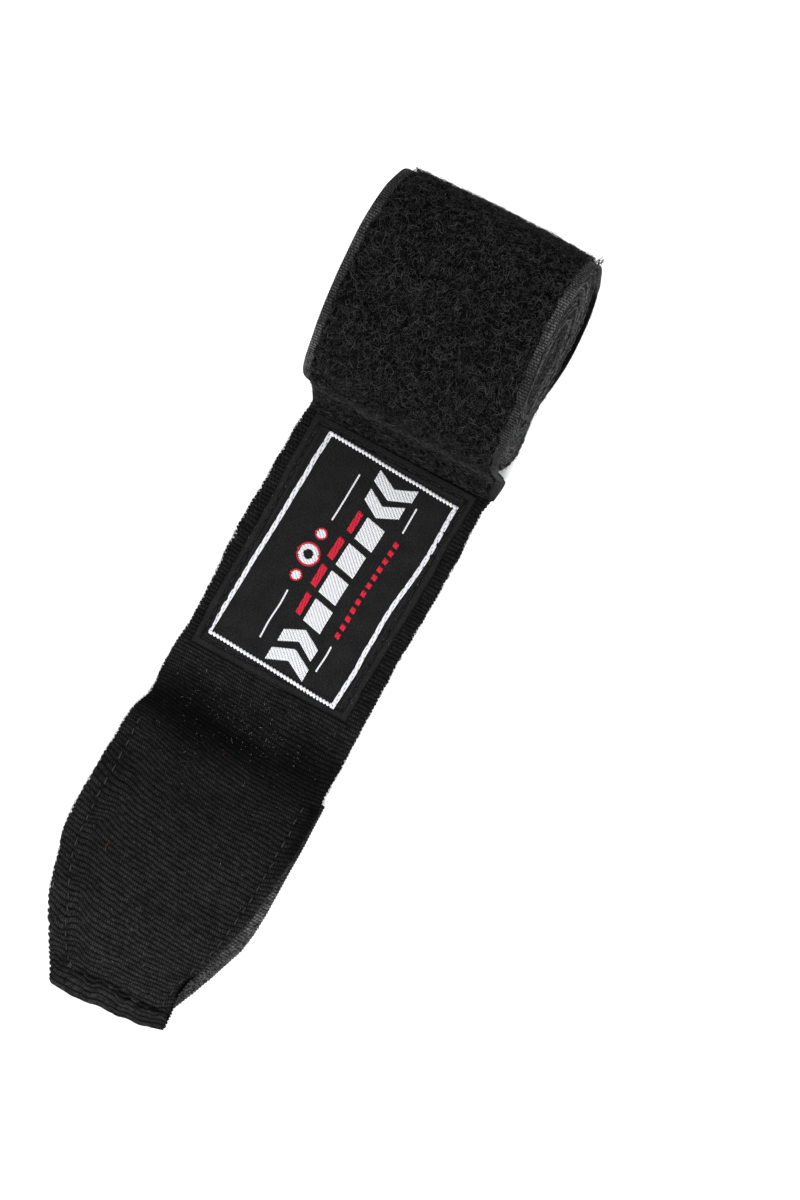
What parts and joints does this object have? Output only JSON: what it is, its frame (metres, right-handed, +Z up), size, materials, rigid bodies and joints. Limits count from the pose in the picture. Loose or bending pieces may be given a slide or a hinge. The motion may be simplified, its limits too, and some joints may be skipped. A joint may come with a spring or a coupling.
{
  "type": "hand wrap",
  "caption": "Black stretch-webbing hand wrap wound into an oval roll, with a loop panel, a sewn woven label and a flat tongue whose tapered tail carries hook tape.",
  "frame": {"origin": "centre of the footprint, on the surface that the wrap lies on", "axes": "+X along the band from the tail to the roll, +Y across the band along the roll's axis, +Z up"},
  "size_m": [0.2104, 0.0532, 0.0479],
  "materials": {
    "webbing": "matte ribbed cotton and elastane webbing, black",
    "thumb_tape": "matte narrow woven tape, black",
    "loop_pile": "brushed nylon loop pile between ribbed selvedges, black",
    "label_cloth": "woven satin label, black ground with white and red weft figures",
    "hook_tape": "woven nylon hook tape with moulded monofilament hooks, black",
    "thread": "spun polyester sewing thread, black",
    "seam_thread": "spun polyester sewing thread, dark grey"
  },
  "bodies": {
    "roll": {"wound_webbing": "webbing", "thumb_loop": "thumb_tape", "thumb_loop_bar_tack": "thread", "loop_panel": "loop_pile", "loop_panel_stitching": "thread"},
    "label_section": {"label_webbing": "webbing", "woven_label": "label_cloth", "label_stitching": "thread"},
    "tail": {"tail_webbing": "webbing", "end_hem_fold": "webbing", "hook_tape": "hook_tape", "hook_tape_stitching": "seam_thread", "hem_stitching": "seam_thread"}
  },
  "joints": [
    {"name": "tongue_fold", "type": "hinge", "parent": "roll", "child": "label_section", "pos_m": [0.04642, 0, 0.00065], "axis": [0, 1, 0], "range_deg": [0, 80]},
    {"name": "tail_fold", "type": "hinge", "parent": "label_section", "child": "tail", "pos_m": [-0.03458, 0, 0.001], "axis": [0, 1, 0], "range_deg": [0, 120]}
  ]
}
